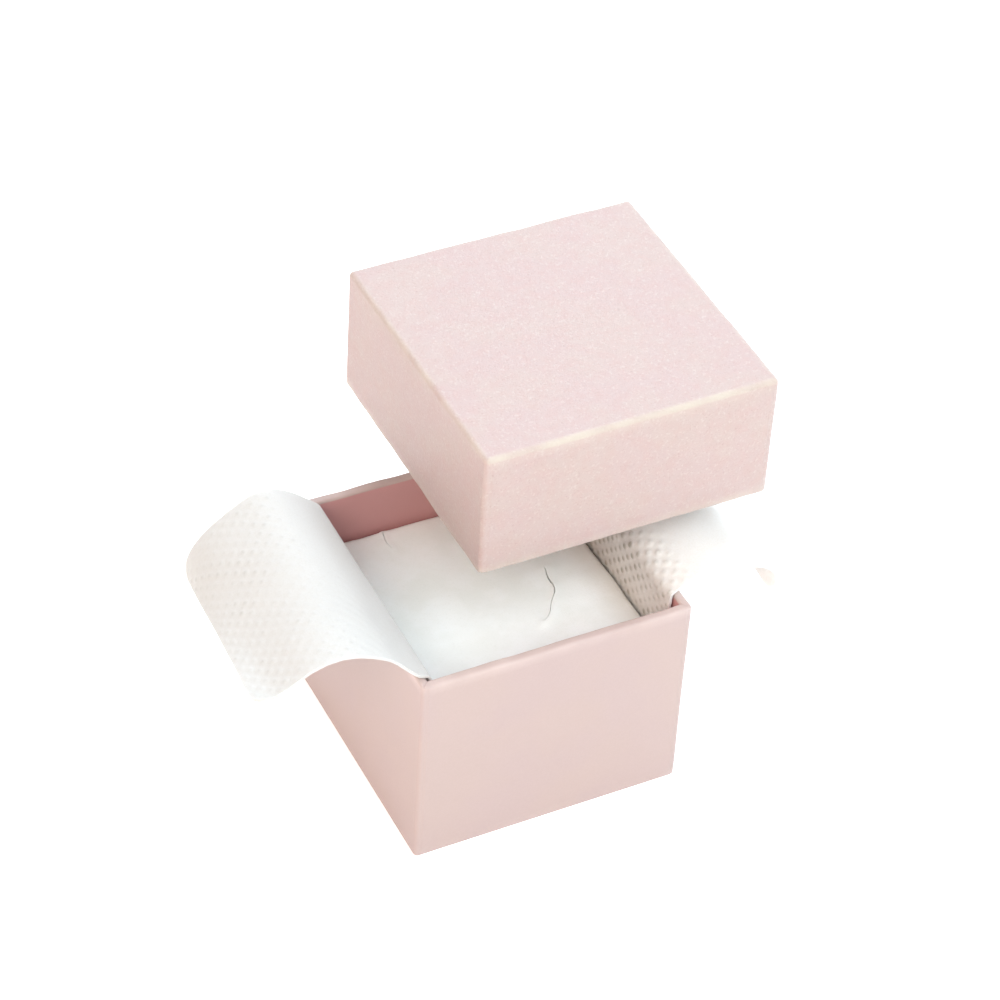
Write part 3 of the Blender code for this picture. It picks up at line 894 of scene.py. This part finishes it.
def build_pad():
    cover = pad_cover()
    foam = pad_block()
    blades = slit_blades()
    cut_slits(cover, blades)
    cut_slits(foam, blades)
    for blade in blades:
        bpy.data.objects.remove(blade, do_unlink=True)
    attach(cover, "pad")
    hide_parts("pad_cover")
    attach(foam, "pad")
    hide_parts("pad_foam")


# ---------------------------------------------------------------- embossed protective strip
DIMPLE_PITCH = 2.8 * MM
DIMPLE_RADIUS = 0.62 * MM
DIMPLE_DEPTH = 0.42 * MM
SHEET_STEP = 0.35 * MM

SHEET_RISE = 0.12 * MM
UNDER_SHARE = 0.5
SHEET_WAVE = 0.35 * MM
LEFT_FRONT_SHIFT = 1.5 * MM
LEFT_SEED = 51
RIGHT_SEED = 57

# Millimetres outward from the hinge line and up from it, along each flap's front and back edges
WALL_RISE = [(0.0, -3.0), (0.0, -1.6)]
LEFT_FRONT = [
    (0.05, -0.90), (0.4, -0.40), (1.2, -0.15), (2.3, 0.45), (3.9, 1.8), (6.8, 4.5), (10.2, 6.5),
    (13.6, 7.6), (17.0, 7.8), (20.4, 7.0), (23.6, 5.3), (26.8, 3.9), (30.6, 3.7),
]
LEFT_BACK = [
    (0.05, -0.60), (0.25, 0.20), (0.8, 0.95), (1.7, 1.75), (3.3, 3.1), (5.9, 5.1), (9.3, 6.8),
    (12.8, 6.8), (16.0, 5.2), (19.3, 2.8), (22.2, 0.3), (24.2, -2.6), (25.0, -6.2),
]
RIGHT_FRONT = [
    (0.05, -0.60), (0.35, 0.00), (1.1, 0.60), (2.2, 1.15), (3.5, 1.8), (5.6, 2.4), (8.2, 2.4),
    (11.4, 1.8), (14.8, 0.9), (18.2, -0.5), (20.45, -2.7), (20.9, -5.4), (20.1, -7.7),
]
RIGHT_BACK = [
    (0.05, -0.60), (0.35, 0.10), (1.0, 0.70), (2.0, 1.40), (3.5, 2.0), (5.7, 2.6), (8.6, 2.9),
    (12.0, 2.5), (15.4, 1.6), (18.3, 0.4), (20.4, -0.9), (22.2, -2.4),
]


def curve_through(points, steps=6):
    """Catmull-Rom curve through the points."""
    line = []
    for index in range(len(points) - 1):
        p0 = points[max(index - 1, 0)]
        p1 = points[index]
        p2 = points[index + 1]
        p3 = points[min(index + 2, len(points) - 1)]
        for step in range(steps):
            t = step / steps
            line.append(tuple(
                0.5 * (2 * b + (c - a) * t + (2 * a - 5 * b + 4 * c - d) * t * t
                       + (3 * b - a - 3 * c + d) * t ** 3)
                for a, b, c, d in zip(p0, p1, p2, p3)
            ))
    line.append(points[-1])
    return line


def evenly(line, count):
    """The line cut into that many equal steps, and its length."""
    lengths = [0.0]
    for start, end in zip(line, line[1:]):
        lengths.append(lengths[-1] + math.dist(start, end))
    total = lengths[-1]
    points = []
    index = 0
    for k in range(count + 1):
        wanted = total * k / count
        while index < len(line) - 2 and lengths[index + 1] < wanted:
            index += 1
        span = lengths[index + 1] - lengths[index]
        t = (wanted - lengths[index]) / span if span else 0.0
        points.append(tuple(a + (b - a) * t for a, b in zip(line[index], line[index + 1])))
    return points, total


def sheet_section(flap):
    """Middle line of a half strip as (outward from the hinge line, z): floor part, free part."""
    low = STRIP_FLOOR_Z + STRIP_BEND
    start = -STRIP_SIDE_X + 0.05 * MM
    floor = [(start, STRIP_FLOOR_Z)] + arc((-STRIP_BEND, low), STRIP_BEND, 270, 90, 6)
    free = [(out * MM, HINGE_Z + up * MM) for out, up in WALL_RISE + flap]
    return floor, free


def dimple_share(along, y):
    """How deep a point lies in the nearest dimple of the staggered rows, 0 to 1."""
    deepest = 0.0
    for shift in (0.0, 0.5):
        a = along / DIMPLE_PITCH + shift
        b = y / DIMPLE_PITCH + shift
        off = math.hypot(a - round(a), b - round(b)) * DIMPLE_PITCH
        deepest = max(deepest, math.exp(-(off / DIMPLE_RADIUS) ** 2))
    return deepest


def relief_left(out):
    """Share of the full dimple depth: drawn smooth where the left flap is pulled over the wall."""
    return 0.15 + 0.85 * smoothstep(4 * MM, 13 * MM, out)


def relief_right(out):
    """Share of the full dimple depth: full on the wall and its bend, softer on the right flap."""
    return 1.9 - 1.5 * smoothstep(2.5 * MM, 6 * MM, out)


def middle_sheet(side, front, back, front_shift, seed):
    """Grid of (place, distance along, distance across) on the sheet's middle, its size too."""
    floor, front_free = sheet_section(front)
    back_free = sheet_section(back)[1]
    front_line = floor + curve_through(front_free)
    back_line = floor + curve_through(back_free)
    length = evenly(front_line, 1)[1]
    rows = round(length / SHEET_STEP)
    front_points = evenly(front_line, rows)[0]
    back_points = evenly(back_line, rows)[0]
    width = 2 * STRIP_HALF_WIDTH
    columns = round(width / SHEET_STEP)
    grid = []
    for i in range(rows + 1):
        along = length * i / rows
        past = max(0.0, along - (length - FLAP_CORNER))
        inset = FLAP_CORNER - math.sqrt(max(FLAP_CORNER ** 2 - past ** 2, 0.0))
        free = smoothstep(0.0, 12 * MM, front_points[i][0])
        row = []
        for j in range(columns + 1):
            t = (inset + (width - 2 * inset) * j / columns) / width
            y = -STRIP_HALF_WIDTH + t * width
            blend = t + 0.12 * math.sin(2 * math.pi * t) / (2 * math.pi)
            out = front_points[i][0] * (1 - blend) + back_points[i][0] * blend
            z = front_points[i][1] * (1 - blend) + back_points[i][1] * blend
            z += free * SHEET_WAVE * wave((along, y, 0), 13 * MM, seed)
            near = smoothstep(-8 * MM, -1 * MM, out) * (1 - smoothstep(1.5 * MM, 6 * MM, out))
            slant = front_shift * (1 - t) * near
            row.append((Vector((side * (STRIP_SIDE_X + out), y - slant, z)), along, y))
        grid.append(row)
    return grid, front_points, width, length


def sheet_faces(rows, columns, count):
    """Faces of a sheet: its upper side, its lower side and the band around its border."""
    wide = columns + 1
    faces = []
    for i in range(rows):
        for j in range(columns):
            corner = i * wide + j
            face = (corner, corner + 1, corner + wide + 1, corner + wide)
            faces.append(face)
            faces.append(tuple(count + v for v in reversed(face)))
    border = list(range(columns))
    border += [i * wide + columns for i in range(rows)]
    border += [rows * wide + j for j in range(columns, 0, -1)]
    border += [i * wide for i in range(rows, 0, -1)]
    for index, vertex in enumerate(border):
        following = border[(index + 1) % len(border)]
        faces.append((following, vertex, count + vertex, count + following))
    return faces


def half_strip(name, side, front, back, front_shift, relief, seed, material):
    """One half of the strip, from the middle of the floor to its free end, pressed with dimples."""
    grid, front_points, width, length = middle_sheet(side, front, back, front_shift, seed)
    rows = len(grid) - 1
    columns = len(grid[0]) - 1
    upper = []
    lower = []
    dimples = []
    for i in range(rows + 1):
        for j in range(columns + 1):
            here, along, y = grid[i][j]
            ahead = grid[min(i + 1, rows)][j][0] - grid[max(i - 1, 0)][j][0]
            across = grid[i][min(j + 1, columns)][0] - grid[i][max(j - 1, 0)][0]
            normal = ahead.cross(across).normalized() * -side
            edge = min(y + STRIP_HALF_WIDTH, STRIP_HALF_WIDTH - y, length - along)
            fade = 0.3 + 0.7 * smoothstep(0.0, 1.0 * MM, edge)
            fade *= relief(front_points[i][0])
            uneven = 0.85 + 0.25 * wave((along, y, 0), 5 * MM, seed + 4)
            depth = dimple_share(along, y) * uneven
            over = STRIP_SHEET / 2 + (SHEET_RISE - DIMPLE_DEPTH * depth) * fade
            under = STRIP_SHEET / 2 + UNDER_SHARE * DIMPLE_DEPTH * depth * fade
            upper.append(here + normal * over)
            lower.append(here - normal * under)
            # This dimple value also sets how much painted shade the material puts in the dimples.
            dimples.append(max(depth * fade, 0.0))
    faces = sheet_faces(rows, columns, len(upper))
    if side < 0:
        faces = [tuple(reversed(face)) for face in faces]
    piece = add_piece(name, upper + lower, faces, material, {"dimple": dimples + dimples},
                      SHARP_DEGREES_SHEET)
    return piece, width, length


def build_strip():
    # Both halves are one sheet. The right half gets a lighter colour as painted light where the lid
    # shades it, and stronger painted shade in its dimples.
    left, width, length = half_strip("strip_left_half", -1, LEFT_FRONT, LEFT_BACK,
                                     LEFT_FRONT_SHIFT, relief_left, LEFT_SEED,
                                     embossed_sheet("embossed_sheet_left", 0.985, 0.42))
    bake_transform(left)
    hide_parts("liner_strip", "liner_left_flap")
    right, width, length = half_strip("strip_right_half", 1, RIGHT_FRONT, RIGHT_BACK,
                                      0.0, relief_right, RIGHT_SEED,
                                      embossed_sheet("embossed_sheet_right", 1.13, 0.88))
    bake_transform(right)
    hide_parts("liner_strip", "liner_right_flap")


# ---------------------------------------------------------------- carried-over CAD nodes
def finish_cad_nodes():
    """Board, tape and paper looks on the nodes that no visible piece replaces."""
    board = greyboard()
    tape = kraft_tape()
    liner = liner_paper()
    for name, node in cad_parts.items():
        if "corner_stay" in name:
            material = tape
        elif name.endswith("_board"):
            material = board
        elif name.endswith("_liner"):
            material = liner
        else:
            continue
        for slot in node.material_slots:
            slot.material = material


make_camera()
make_studio()
build_tray()
build_lid()
build_pad()
build_strip()
finish_cad_nodes()
